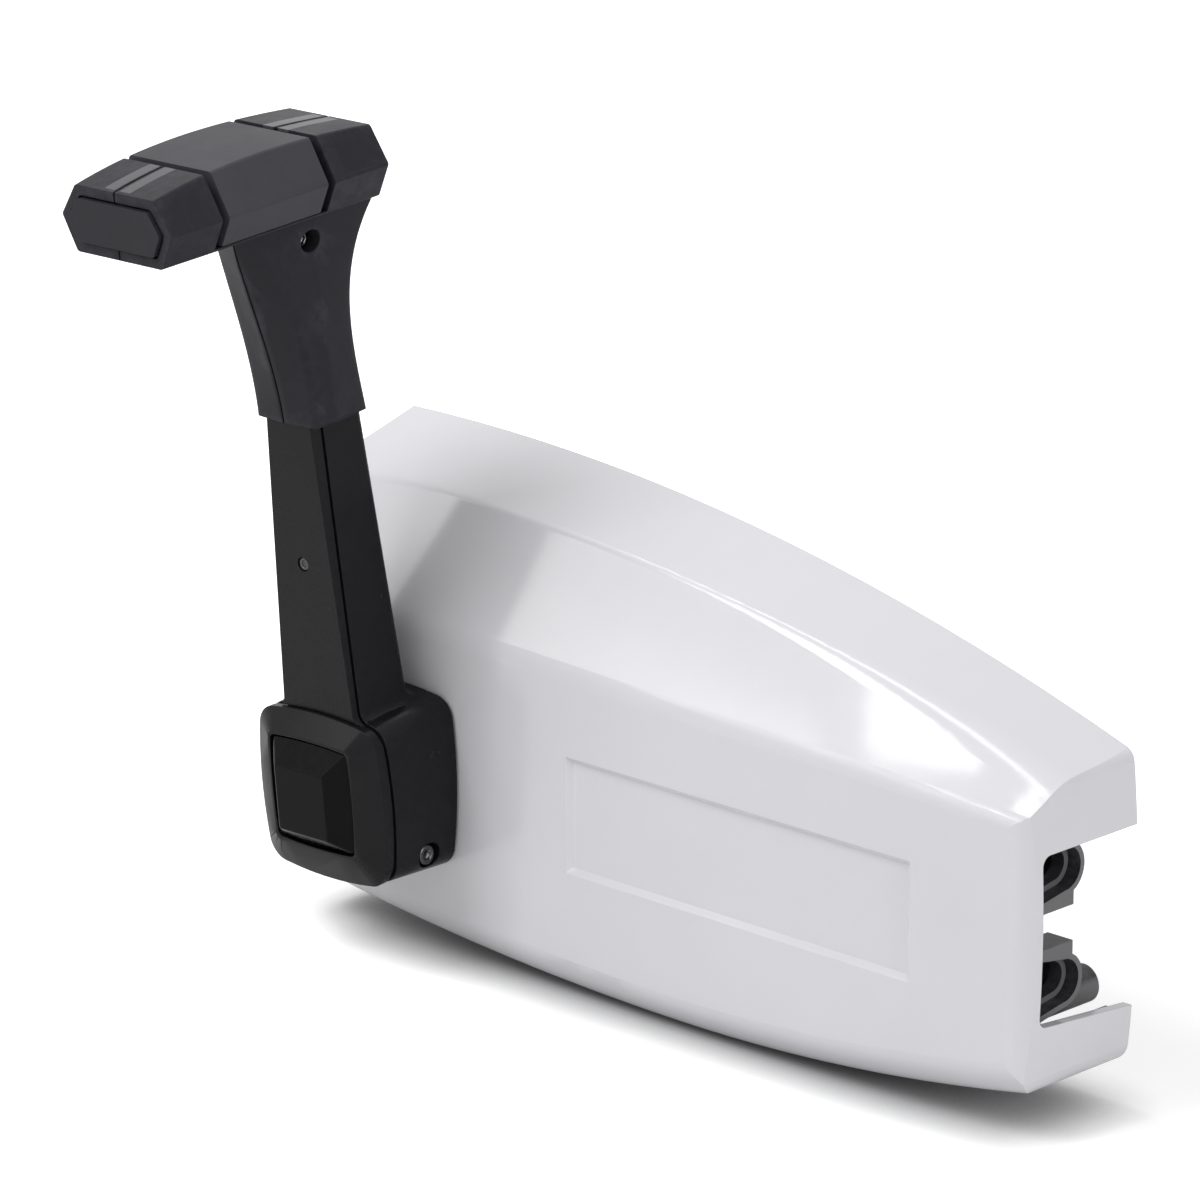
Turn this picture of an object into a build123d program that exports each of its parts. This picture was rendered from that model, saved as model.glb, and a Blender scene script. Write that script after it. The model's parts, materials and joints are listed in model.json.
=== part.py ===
from build123d import *
from math import acos, asin, cos, degrees, pi, radians, sin, tan
import os

# Side-mounted single-lever boat control: a moulded cover over a cast chassis,
# a lever with a T grip on a shaft, and the gears that drive two cables.
# Millimetres. X runs along the housing to the cable end, -Y faces the helmsman,
# +Z is up. The origin is on the lever shaft's axis, in the plane of the hull side.

# ---------------------------------------------------------------- driving sizes
# Cover
cover_left = -42.5          # flat end of the cover
cover_right = 270.5         # cable end, at its widest
cover_depth = 52.0          # hull side to the front face
cover_wall = 3.5
top_height = 105.8          # crown of the back edge
top_crown_x = -22.0
top_radius = 850.0          # long arc of the top edge
belly_depth = 58.0          # lowest line, below the shaft
belly_x = 120.0
belly_radius_left = 1180.0
belly_radius_right = 760.0
belly_round = 13.0          # rounding along the bottom front edge
upper_crease_out = 38.0     # how far out the upper crease runs, at the left
upper_crease_end = 34.0     # and at the cable end
upper_drop = 11.0           # upper crease below the top edge, at the left
upper_drop_end = 1.8
upper_round = 3.0           # its rounding along the middle
upper_round_left = 20.0
upper_round_right = 34.0    # it widens into a facet at the cable end
upper_soft_x = 5.0          # left of this it softens
upper_facet_x = 110.0       # right of this it widens
lower_crease_z = 53.0       # lower crease above the shaft
lower_crease_fall = 0.027   # its fall per millimetre of length
lower_round_left = 25.0
lower_round_right = 5.0
end_barrel_radius = 460.0
end_barrel_z = 8.0
front_corner_right = 8.5
front_corner_left = 16.0
end_top_round = 5.0         # upper corner at the cable end
end_low_round = 8.0         # and its lower corner
end_corner_back = 2.6       # the upper corner stands this far back from the widest point
end_corner_low_back = 2.9   # and the lower one
inner_flat = 0.8            # flat inside the upper crease, as a share of its rounding
form_spans = 6              # spans between the sections of the housing
belly_sweep = 16.0          # degrees of arc that cover half the belly
overrun = 6.0               # lofts and cutters run this far past what they make
back_overrun = 2.0          # sections run past the hull side, where they are cut flat
crossing = 0.02             # roundings cross the faces they meet by this much
panel_left = 77.8           # bare recessed panel
panel_width = 146.0
panel_bottom = -15.7
panel_height = 39.0
panel_depth = 1.8
notch_top = 33.5            # cable notch in the end wall
notch_bottom_front = -21.3
notch_bottom_back = -25.5
notch_front_y = -cover_depth + 8.0
notch_round = 3.5
cover_post_r = 4.5
cover_posts = [(-16.0, 76.0), (186.0, 50.0), (120.0, -40.0)]

# Chassis
fit_gap = 0.5               # cover to chassis, all round
web_front = -cover_depth + 18.0 # casting's web
web_thickness = 4.0
rim_thickness = 3.0
rim_back = -4.0             # the rim stops short of the hull side
rib_heights = (30.0, -38.0)  # stiffening ribs along the web's back
rib_left = 128.0
rib_right = 240.0
rib_height = 6.0
rib_width = 3.0
slot_x = 214.0              # open end between the two prongs
slot_top = 10.0
slot_bottom = -16.5
prong_end = 246.0
bolt_left = -20.0
bolt_right = 250.0
bolt_low = -22.7
bolt_high = 42.0
bolt_boss_r = 6.2
bolt_hole_r = 3.3
saddle_high_z = 24.6        # cable saddle axes
saddle_low_z = -11.5
saddle_axis_y = -cover_depth + 25.0
saddle_outer_r = 8.8
saddle_wall = 1.8
saddle_rib = 1.9
saddle_end = 264.5
saddle_length = 26.0
saddle_front = -cover_depth + 7.0
saddle_mouth = 5.0          # depth of the wide groove at the end
saddle_rib_length = 5.0
saddle_flare = 10.0         # degrees the limbs lean outward
lug_length = 10.0           # lug beside each saddle, towards the slot
lug_height = 3.5
lug_back = 4.0
clamp_length = 10.0
clamp_start = 18.0          # from the saddle's end
clamp_pin_r = 1.2
clamp_pin_overhang = 2.2    # past the saddle's limbs

# Shaft, gears and arms, stacked along the shaft from the web to the hull side
shaft_r = 6.0
bushing_wall = 1.5
bushing_length = 8.0
running = 0.05              # radial running clearance
bearing_boss_r = 12.5
bearing_front = -cover_depth + 1.6
gear_module = 2.0
drive_teeth = 20
sector_teeth = 40
sector_half_angle = 50.0
backlash = 0.16
flank_steps = 2             # straight runs along each tooth's flank
gear_width = 8.0
gear_back = web_front + 15.0
cam_r = 14.0
cam_width = 6.0
cam_notch = 1.2
washer_room = 1.0           # between the bearing boss and the gear
pivot_x = gear_module * (drive_teeth + sector_teeth) / 2
pivot_boss_r = 9.0
arm_thickness = 5.0
throttle_arm_length = 34.0
throttle_hub_r = 10.0
shift_arm_length = 44.0
arm_tip_r = 5.5
sector_hub_r = 11.0
sector_hole_r = 5.5
sector_hole_at = 23.5
sector_hole_turn = 20.0
cable_pin_r = 3.0
cable_pin_length = 11.0
cable_pin_head = 1.5
cable_pin_rim = 1.2
pivot_r = 5.0
nut_width = 4.5
nut_r = 9.0
washer_thickness = 0.9
washer_rim = 4.0
end_play = 0.05
clip_thickness = 1.2
clip_rim = 3.0
plunger_r = 3.4
plunger_y = gear_back + cam_width / 2 + 0.7
plunger_nose_gap = 0.5
plunger_length = 10.0
detent_block_right = -23.0
detent_block_half = 6.0
detent_left = cover_left + cover_wall + 3.0
detent_wire = 0.9
post_screw_r = 1.6
post_screw_grip = 7.0       # length in the cover's post
post_screw_head_r = 3.6
post_screw_head = 2.4
screw_clear_r = 2.2
switch_size = (18.0, 8.0, 9.0)
switch_center = (-17.0, 29.6)
switch_screw_at = 5.6
switch_screw_r = 1.3
switch_head = 1.2
switch_head_r = 2.0

# Lever: all of it is built upright, then leaned as one piece
lever_lean = 4.6            # outward
lever_rake = 1.0            # away from the cable end
hub_gap = 0.9               # hub to the cover's front
hub_back = -cover_depth - hub_gap
lean_pivot_y = hub_back - 17.1
hub_parting = hub_back - 26.5
hub_front = hub_back - 31.5
bezel_front = hub_back - 36.0
hub_half_front = 28.4
hub_half_back = 30.4
hub_center_z = 1.0
hub_bulge = 2.4
hub_corner = 8.0
shaft_front = hub_back - 15.1
window_half_w = 18.4
window_half_h = 18.4
window_center_z = 2.7
flare_round = 4.0           # stem running out into the hub
button_flat = 22.4
button_rise = 6.0
button_travel = 3.0
spring_seat = hub_back - 18.5
button_gap = 0.5
button_flange = 1.4
spring_wire = 1.1
spring_turns = 2.5
spring_r = 6.0
button_drop = 1.0           # the flat sits this much below the window's middle
button_shoulder = 0.8       # its slopes start this far below the bezel's rim
window_bulge = 0.8
window_corner = 2.0
bezel_rim = 1.0
window_ledge = 1.8          # ledge that keeps the button behind the bezel
ledge_depth = 2.0
hub_screw_r = 3.4
hub_screw_shank = 2.2
hub_screw_seat = 23.4
hub_screw_room = 1.0        # its hole is this much wider than its head
hub_screw_y = hub_back - 12.5
hub_screw_z = -19.7
stem_screw_r = 2.2
stem_screw_z = 80.2
stem_screw_seat = hub_back - 29.7
stem_screw_length = 1.1
screw_reach = 9.0           # how far the cross screws pass the middle plane
plate_thickness = 1.6
groove = 0.4
groove_depth = 0.7
neck_bottom = 128.5
stem_bottom = 30.0          # where the stem meets the hub
stem_half_bottom = 15.9
stem_half_top = 9.8
stem_front_bottom = hub_back - 30.0
stem_front_top = hub_back - 32.3
stem_back_bottom = hub_back - 4.3
stem_back_top = hub_back - 9.1
stem_round = 2.5
tongue_half = 6.0
tongue_front = hub_back - 26.1
tongue_back = hub_back - 14.6
tongue_top = 188.0
half_gap = 0.12             # between the two handle halves, each side
seat = 0.3

# Grip, along Y
grip_outer = hub_back - 95.6
grip_inner = hub_back - 3.6
grip_mid_z = 210.0
grip_half = 25.7
grip_half_outer = 25.0
grip_flat = 20.0
grip_top_outer = 10.4
grip_top_mid = 14.6
grip_top_inner = 11.8
grip_low = 11.4
block_gap = 3.0
neck_sunk = 2.0             # the neck ends this far inside the grip
pad_outer = hub_back - 71.7
pad_inner = hub_back - 29.7
pad_thickness = 4.2
pad_mouth = 16.7            # half width of the core between the pad's limbs
rail = 1.2
rocker_inset = 3.8
rocker_proud = 1.3
rocker_depth = 6.0
rocker_gap = 0.6
rocker_throw = 1.9          # behind the rocker, for its tilt
inlay_width = 4.6
inlay_offset = 1.2
inlay_thickness = 0.8
slit_width = 0.9
slit_depth = 1.2
grip_edge = 1.5
handle_screw_y = hub_back - 31.4
handle_screw_z = 190.7
handle_screw_r = 3.2
handle_screw_shank = 1.8
handle_screw_seat = 9.4
handle_screw_room = 0.6
trim_switch_size = (15.0, 9.0, 8.0)
rocker_pin_r = 1.0
rocker_pin_at = 3.5         # from the end face
rocker_pin_length = 19.0

# ------------------------------------------------------------------ small tools
def cyl_y(r, y0, y1, x=0.0, z=0.0):
    """Cylinder along Y between two stations."""
    return Pos(x, (y0 + y1) / 2, z) * Rot(90, 0, 0) * Cylinder(r, abs(y1 - y0))


def cyl_x(r, x0, x1, y=0.0, z=0.0):
    """Cylinder along X between two stations."""
    return Pos((x0 + x1) / 2, y, z) * Rot(0, 90, 0) * Cylinder(r, abs(x1 - x0))


def block(x0, x1, y0, y1, z0, z1):
    """Box between two corners."""
    middle = Pos((x0 + x1) / 2, (y0 + y1) / 2, (z0 + z1) / 2)
    return middle * Box(abs(x1 - x0), abs(y1 - y0), abs(z1 - z0))


def blend(a, b, t):
    """Value between a and b."""
    return a + (b - a) * t


def across_x(x):
    """Sketch plane square to X: local x is Y, local y is Z."""
    return Plane(origin=(x, 0, 0), x_dir=(0, 1, 0), z_dir=(1, 0, 0))


def across_y(y):
    """Sketch plane square to Y, seen from the front: local x is X, local y is Z."""
    return Plane(origin=(0, y, 0), x_dir=(1, 0, 0), z_dir=(0, -1, 0))


def outline(points):
    """Closed face through the points."""
    return make_face(Polyline(*points, close=True))


def inset(points, distances):
    """Closed outline with each side moved inward by its own distance."""
    count = len(points)
    moved = []
    for i in range(count):
        a, b = Vector(*points[i]), Vector(*points[(i + 1) % count])
        along = (b - a).normalized()
        inward = Vector(along.Y, -along.X)
        moved.append((a + inward * distances[i], along))
    corners = []
    for i in range(count):
        p, d = moved[i - 1]
        q, e = moved[i]
        cross = d.X * e.Y - d.Y * e.X
        t = ((q.X - p.X) * e.Y - (q.Y - p.Y) * e.X) / cross
        corners.append((p.X + d.X * t, p.Y + d.Y * t))
    return corners


def leaned(shape):
    """Turn a piece of the upright lever to the lever's lean and rake."""
    lean = Pos(0, lean_pivot_y, 0) * Rot(lever_lean, 0, 0) * Pos(0, -lean_pivot_y, 0)
    return Rot(0, -lever_rake, 0) * lean * shape


# ---------------------------------------------------------- the housing's form
def top_z(x):
    return top_height - (x - top_crown_x) ** 2 / (2 * top_radius)


def crease_round(x):
    """Rounding of the upper crease: soft at the left, a wide facet at the right."""
    if x < upper_soft_x:
        t = (upper_soft_x - x) / (upper_soft_x - cover_left)
        return blend(upper_round, upper_round_left, t * t)
    t = max(0.0, x - upper_facet_x) / (cover_right - upper_facet_x)
    return blend(upper_round, upper_round_right, t * t)


def housing_corners(x, wall):
    """Corners of the housing's section square to X, moved inward by wall but open at the back."""
    t = (x - cover_left) / (cover_right - cover_left)
    upper = (-blend(upper_crease_out, upper_crease_end, t),
             top_z(x) - blend(upper_drop, upper_drop_end, t * t))
    lower = (-cover_depth, lower_crease_z - lower_crease_fall * x)
    below = -belly_depth - overrun
    corners = [(0, below), (-cover_depth, below), lower, upper, (0, top_z(x))]
    back = -back_overrun * (1 + wall / cover_wall)
    return inset(corners, [0, wall, wall, wall, back])


def outer_section(x):
    """Outer section with its two creases rounded."""
    t = (x - cover_left) / (cover_right - cover_left)
    points = housing_corners(x, 0.0)
    lower_round = blend(lower_round_left, lower_round_right, t)
    front = FilletPolyline(*points[1:], radius=[lower_round, crease_round(x)])
    base = Polyline(points[4], points[0], points[1])
    return across_x(x) * make_face(front + base)


def inner_section(x, wall):
    """Section inside the wall, with one flat across the upper crease."""
    points = housing_corners(x, wall)
    lower, upper, top = (Vector(*p) for p in points[2:])
    turn = (upper - lower).get_angle(top - upper)
    cut = inner_flat * crease_round(x) * tan(radians(turn / 2))
    flat = [upper + (lower - upper).normalized() * cut, upper + (top - upper).normalized() * cut]
    return across_x(x) * outline(points[:3] + [(p.X, p.Y) for p in flat] + points[4:])


def belly_cutter(side, radius, wall):
    """What lies below the long arc of the belly and outside its rounded front edge."""
    low, front, r = wall - belly_depth, wall - cover_depth, belly_round - wall
    middle = front + r - crossing
    section = outline([(overrun, low), (overrun, -2 * belly_depth), (front - overrun, -2 * belly_depth),
                       (front - overrun, low + r), (middle, low + r), (middle, low)])
    section -= Pos(middle, low + r) * Circle(r)
    turn = Axis((belly_x, 0, radius - belly_depth), (0, side, 0))
    return revolve(across_x(belly_x) * section, turn, belly_sweep)


def end_corner_cutter(x, z, fall, side, radius):
    """What lies outside a rounded corner of the cable end: side is 1 at its top, -1 at its bottom."""
    reach = 4 * radius
    lean = side * (z - end_barrel_z) / end_barrel_radius
    sharp = outline([(x - reach, z + side * fall * reach), (x, z),
                     (x + lean * reach, z - side * reach), (x - reach, z - side * reach)])
    tip = sharp.vertices().sort_by(lambda v: v.X + side * v.Y)[-1]
    outside = Pos(seat, side * seat) * sharp - fillet(tip, radius)
    return Pos(0, overrun, 0) * extrude(across_y(0) * outside, cover_depth + 2 * overrun)


def housing_form(wall):
    """Solid form of the housing with every outer face moved inward by wall."""
    first, last = cover_left - overrun, cover_right + overrun
    stations = [blend(first, last, i / form_spans) for i in range(form_spans + 1)]
    if wall == 0:
        body = loft([outer_section(x) for x in stations])
    else:
        body = loft([inner_section(x, wall) for x in stations], ruled=True)
    left, right, front = cover_left + wall, cover_right - wall, -cover_depth + wall
    hull = 0 if wall == 0 else 2 * overrun
    barrel = cyl_y(end_barrel_radius, -100, hull, right - end_barrel_radius, end_barrel_z)
    body = (body & barrel) - block(left - 50, left, -100, 100, -100, 150)
    for x, side, radius in ((left, -1, front_corner_left - wall), (right, 1, front_corner_right - wall)):
        middle = (x - side * (radius - crossing), front + radius - crossing)
        square = Pos(x, front) * Rectangle(2 * radius, 2 * radius)
        body -= Pos(0, 0, -150) * extrude(square - Pos(*middle) * Circle(radius), 300)
    body -= belly_cutter(1, belly_radius_left, wall)
    body -= belly_cutter(-1, belly_radius_right, wall)
    if wall == 0:
        x = cover_right - end_corner_back
        body -= end_corner_cutter(x, top_z(x), (x - top_crown_x) / top_radius, 1, end_top_round)
        x = cover_right - end_corner_low_back
        rise = asin((x - belly_x) / belly_radius_right)
        low = belly_radius_right * (1 - cos(rise)) - belly_depth
        body -= end_corner_cutter(x, low, tan(rise), -1, end_low_round)
    return body


# --------------------------------------------------------------- root: housing
def make_cover(outer, inner):
    """Moulded cover with the bare panel, the cable notch and its screw posts."""
    posts = [cyl_y(cover_post_r, web_front - 0.1, -cover_depth, x, z) for x, z in cover_posts]
    cover = outer - inner
    for post, (x, z) in zip(posts, cover_posts):
        cover += post & outer
        cover -= cyl_y(post_screw_r, web_front, web_front - post_screw_grip, x, z)
    cover -= cyl_y(bearing_boss_r + 1, -cover_depth - 5, -cover_depth + 8)
    notch = outline([(notch_front_y, notch_bottom_front), (notch_front_y, notch_top),
                     (5, notch_top), (5, notch_bottom_back)])
    notch = fillet(notch.vertices().group_by(Axis.X)[0], notch_round)
    cover -= extrude(across_x(cover_right - 15) * notch, 30)
    mouth = Rectangle(panel_width, panel_height)
    floor = Rectangle(panel_width - 2 * panel_depth, panel_height - 2 * panel_depth)
    center = Pos(panel_left + panel_width / 2, 0, panel_bottom + panel_height / 2)
    recess = loft([across_y(-cover_depth - 0.001) * mouth, across_y(-cover_depth + panel_depth) * floor])
    return cover - center * recess


def saddle(z, side):
    """Cable saddle: a U channel along X that opens forward, with an inner rib and a lug on one side."""
    r, wall = saddle_outer_r, saddle_wall
    start, stop = saddle_end - saddle_length, saddle_end
    limb = tan(radians(saddle_flare)) * (saddle_axis_y - saddle_front)

    def channel(radius, x0, x1, front):
        mouth = radius + limb
        shape = outline([(front, z - mouth), (front, z + mouth),
                         (saddle_axis_y, z + radius), (saddle_axis_y, z - radius)])
        shape += Pos(saddle_axis_y, z) * Circle(radius)
        return extrude(across_x(x0) * shape, x1 - x0)

    body = channel(r, start, stop, saddle_front)
    body += block(stop - lug_length, stop, saddle_front + 1, saddle_axis_y + lug_back,
                  z + side * (r - wall / 2), z + side * (r + lug_height))
    body -= channel(r - wall, stop - saddle_mouth, stop + 1, saddle_front - 1)
    body -= channel(r - wall - saddle_rib, start - 1, stop, saddle_front - 1)
    body -= channel(r - wall, start - 1, stop - saddle_mouth - saddle_rib_length, saddle_front - 1)
    return body - clamp_pin(z, running)


def make_chassis(form, core):
    """Casting: ribbed web, rim, prongs with cable saddles, bosses for shaft and bolts."""
    web = form & block(-100, 300, web_front, web_front + web_thickness, -100, 150)
    rim = (form & block(-100, 300, web_front, rim_back, -100, 150)) - core
    body = web + rim
    body -= block(slot_x, 300, -60, 5, slot_bottom, slot_top)
    body -= block(prong_end, 300, -60, 5, slot_bottom - 1, notch_top + 0.5)
    body -= block(bolt_right - 5, 300, -60, 5, notch_bottom_back - 0.5, slot_bottom)
    for z, side in ((saddle_high_z, -1), (saddle_low_z, 1)):
        body -= block(saddle_end - saddle_length, 300, web_front - 1, 0,
                      z - saddle_outer_r + 1, z + saddle_outer_r - 1)
        body += saddle(z, side)
    for x in (bolt_left, bolt_right):
        for z in (bolt_low, bolt_high):
            body += cyl_y(bolt_boss_r, web_front, 0, x, z)
            body -= cyl_y(bolt_hole_r, web_front - 1, 1, x, z)
    body += cyl_y(bearing_boss_r, bearing_front, gear_back - gear_width - washer_room)
    body -= cyl_y(shaft_r + bushing_wall, bearing_front - 1, 0)
    body += cyl_y(pivot_boss_r, web_front, gear_back - gear_width - washer_room, pivot_x)
    web_back = web_front + web_thickness
    for z in rib_heights:
        body += block(rib_left, rib_right, web_back - crossing, web_back + rib_height, z, z + rib_width)
    body -= cyl_y(pivot_r, web_front - 1, 0, pivot_x)
    wall = detent_block_half - plunger_r
    body += block(detent_left - wall, detent_block_right, web_front, plunger_y + detent_block_half,
                  -detent_block_half, detent_block_half)
    body -= cyl_x(plunger_r + running, detent_left, detent_block_right + 1, plunger_y)
    for x, z in cover_posts:
        body -= cyl_y(screw_clear_r, web_front - 1, 0, x, z)
    return body


def make_bushings():
    """Flangeless bearing bushes at the two ends of the bearing boss."""
    back = gear_back - gear_width - washer_room
    spans = ((bearing_front, bearing_front + bushing_length), (back - bushing_length, back))
    bushes = []
    for y0, y1 in spans:
        bushes.append(cyl_y(shaft_r + bushing_wall, y0, y1) - cyl_y(shaft_r + running, y0 - 1, y1 + 1))
    return Compound(children=bushes)


# ------------------------------------------------------------ gears and shafts
def gear_outline(teeth, first_angle, last_angle, phase):
    """Involute outline; teeth stand only between the two angles, in degrees."""
    pitch_r = gear_module * teeth / 2
    base_r, tip_r, root_r = pitch_r * cos(radians(20)), pitch_r + gear_module, pitch_r - 1.25 * gear_module
    half = (pi * gear_module / 2 - backlash) / (2 * pitch_r)
    points = []
    start_r = max(base_r, root_r + 0.2)
    for i in range(teeth):
        middle = phase + 360 * i / teeth
        if not first_angle <= middle <= last_angle:
            continue
        flank = []
        for step in range(flank_steps + 1):
            r = blend(start_r, tip_r, step / flank_steps)
            roll = acos(min(1.0, base_r / r))
            turn = half + tan(radians(20)) - radians(20) - (tan(roll) - roll)
            flank.append((r, degrees(turn)))
        points.append((root_r, middle - flank[0][1]))
        points += [(r, middle - turn) for r, turn in flank]
        points += [(r, middle + turn) for r, turn in reversed(flank)]
        points.append((root_r, middle + flank[0][1]))
    return [(r * cos(radians(a)), r * sin(radians(a))) for r, a in points]


def make_drive_gear():
    """Gear with the neutral cam and the keyed hub, turning with the lever shaft."""
    teeth = outline(gear_outline(drive_teeth, -1, 361, 0))
    gear = extrude(across_y(gear_back) * teeth, gear_width)
    gear += cyl_y(cam_r, gear_back, gear_back + cam_width)
    gear -= cyl_y(plunger_r, gear_back, gear_back + cam_width + 1, cam_notch - cam_r - plunger_r)
    return gear - cyl_y(shaft_r, -60, 0)


def make_throttle_arm():
    """Crank on the shaft that pulls the throttle cable."""
    y0 = gear_back + cam_width
    arm = cyl_y(throttle_hub_r, y0, y0 + arm_thickness)
    arm += cyl_y(arm_tip_r, y0, y0 + arm_thickness, throttle_arm_length)
    beam = outline(tangent_corners(throttle_hub_r, arm_tip_r, throttle_arm_length))
    arm += extrude(across_y(y0 + arm_thickness) * beam, arm_thickness)
    arm -= cyl_y(shaft_r, -60, 5)
    return arm - cyl_y(cable_pin_r, -60, 5, throttle_arm_length)


def tangent_corners(r0, r1, length):
    """Corner points of the tangent lines between two circles on the X axis."""
    a = asin((r0 - r1) / length)
    return [(r0 * sin(a), r0 * cos(a)), (length + r1 * sin(a), r1 * cos(a)),
            (length + r1 * sin(a), -r1 * cos(a)), (r0 * sin(a), -r0 * cos(a))]


def make_shift_sector():
    """Toothed sector and arm that pull the shift cable, turning on its own pin."""
    half_step = 180 / sector_teeth
    points = gear_outline(sector_teeth, 180 - sector_half_angle, 180 + sector_half_angle, half_step)
    body = extrude(across_y(gear_back) * outline([(0, 0)] + points), gear_width)
    body += cyl_y(sector_hub_r, gear_back - gear_width, gear_back)
    beam = outline(tangent_corners(sector_hub_r, arm_tip_r, shift_arm_length))
    body += extrude(across_y(gear_back) * beam, arm_thickness)
    body += cyl_y(arm_tip_r, gear_back - arm_thickness, gear_back, shift_arm_length)
    for turn in (-sector_hole_turn, sector_hole_turn):
        body -= Rot(0, turn, 0) * cyl_y(sector_hole_r, -60, 5, -sector_hole_at)
    body -= cyl_y(cable_pin_r, -60, 5, shift_arm_length)
    body -= cyl_y(pivot_r + running, -60, 5)
    return Pos(pivot_x, 0, 0) * body


def make_cable_pin(x, y0):
    """Headed pin that the cable end turns on."""
    pin = cyl_y(cable_pin_r, y0, y0 + cable_pin_length, x)
    pin += cyl_y(cable_pin_r + cable_pin_rim, y0 + cable_pin_length - cable_pin_head,
                 y0 + cable_pin_length, x)
    return pin


def make_spring(radius, wire, length, turns):
    """Open coil of square wire along Z from the origin."""
    rise = length - 1.5 * wire
    path = Helix(pitch=rise / turns, height=rise, radius=radius)
    profile = Plane(path @ 0, x_dir=(1, 0, 0), z_dir=path % 0) * Rectangle(wire, wire)
    return Pos(0, 0, 0.75 * wire) * sweep(profile, path=path, is_frenet=True)


def make_detent():
    """Sprung plunger that drops into the cam's notch in neutral, and its spring."""
    nose = -cam_r - plunger_nose_gap - plunger_r
    tail = nose - plunger_length
    plunger = cyl_x(plunger_r, tail, nose, plunger_y) + Pos(nose, plunger_y, 0) * Sphere(plunger_r)
    coil = make_spring(plunger_r - detent_wire, detent_wire, tail - detent_left, spring_turns)
    return plunger, Pos(detent_left, plunger_y, 0) * Rot(0, 90, 0) * coil


def make_neutral_switch():
    """Start-in-neutral switch on the web, with its two screws."""
    w, h, d = switch_size
    x, z = switch_center
    back = web_front + web_thickness
    body = block(x - w / 2, x + w / 2, back, back + d, z - h / 2, z + h / 2)
    nub = switch_head
    body += block(x + w / 2 - 3 * nub, x + w / 2, back + d, back + d + nub, z - nub, z + nub)
    screws = []
    for dx in (-switch_screw_at, switch_screw_at / 2):
        body -= cyl_y(switch_screw_r, back - 1, back + d + 1, x + dx, z)
        head = across_y(back + d + switch_head) * (Pos(x + dx, z) * RegularPolygon(switch_head_r, 6))
        screws.append(cyl_y(switch_screw_r, back, back + d, x + dx, z) + extrude(head, switch_head))
    return body, screws


def make_cable_clamps():
    """Keepers that close the two saddles in front of the cable hubs, and their pins."""
    clamps, pins = [], []
    x0 = saddle_end - clamp_start
    half = saddle_outer_r - saddle_wall - saddle_rib - seat
    for z in (saddle_high_z, saddle_low_z):
        keeper = block(x0, x0 + clamp_length, saddle_front + seat, saddle_axis_y - saddle_outer_r,
                       z - half, z + half)
        clamps.append(keeper - clamp_pin(z, running))
        pins.append(clamp_pin(z, 0.0))
    return clamps, pins


def clamp_pin(z, grow):
    """Pin across a saddle's limbs, or its hole when grown."""
    x = saddle_end - clamp_start + clamp_length / 2
    y = saddle_front + 3 * clamp_pin_r
    return Pos(x, y, z) * Cylinder(clamp_pin_r + grow, 2 * (saddle_outer_r + clamp_pin_overhang + grow))


# ------------------------------------------------------------------- the lever
def barrel_square(half_w, half_h, bulge, corner):
    """Square with slightly bulging sides and round corners, centred on the hub."""
    w, h = half_w - bulge, half_h - bulge
    sides = [ThreePointArc((-w, -h), (0, -half_h), (w, -h)),
             ThreePointArc((w, -h), (half_w, 0), (w, h)),
             ThreePointArc((w, h), (0, half_h), (-w, h)),
             ThreePointArc((-w, h), (-half_w, 0), (-w, -h))]
    face = make_face(Curve() + sides)
    return Pos(0, hub_center_z) * fillet(face.vertices(), corner)


def window(grow):
    """Outline of the button's window, grown on every side."""
    face = barrel_square(window_half_w + grow, window_half_h + grow, window_bulge, window_corner + grow)
    return Pos(0, window_center_z - hub_center_z) * face


def window_plate(grow):
    """Rectangle of the button window, grown on every side."""
    return Pos(0, window_center_z) * Rectangle(2 * (window_half_w + grow), 2 * (window_half_h + grow))


def stem_at(z):
    """Half width, front and back of the stem at a height."""
    t = (z - stem_bottom) / (neck_bottom - stem_bottom)
    return (blend(stem_half_bottom, stem_half_top, t), blend(stem_front_bottom, stem_front_top, t),
            blend(stem_back_bottom, stem_back_top, t))


def stem_part(front_y, back_y, side_inset, z0, z1):
    """Length of the tapering stem between two Y stations, or its own faces if None."""
    sections = []
    for z in (z0, z1):
        half, front, back = stem_at(z)
        front = front if front_y is None else front_y
        back = back if back_y is None else back_y
        rect = Pos(0, (front + back) / 2) * Rectangle(2 * (half - side_inset), back - front)
        sections.append(Pos(0, 0, z) * rect)
    return loft(sections)


def footed_hub(inward):
    """Outline of the hub's front and the stem's foot, run together by a concave round."""
    top = hub_center_z + hub_half_front + 2 * flare_round
    half = hub_half_front - inward
    low, high = (stem_at(z)[0] - inward for z in (hub_center_z, top))
    foot = outline([(-low, hub_center_z), (low, hub_center_z), (high, top), (-high, top)])
    face = barrel_square(half, half, hub_bulge, hub_corner) + foot
    meeting = face.vertices().filter_by(lambda v: abs(v.X) < low and hub_center_z < v.Y < top - 1)
    return fillet(meeting, flare_round + inward)


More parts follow.
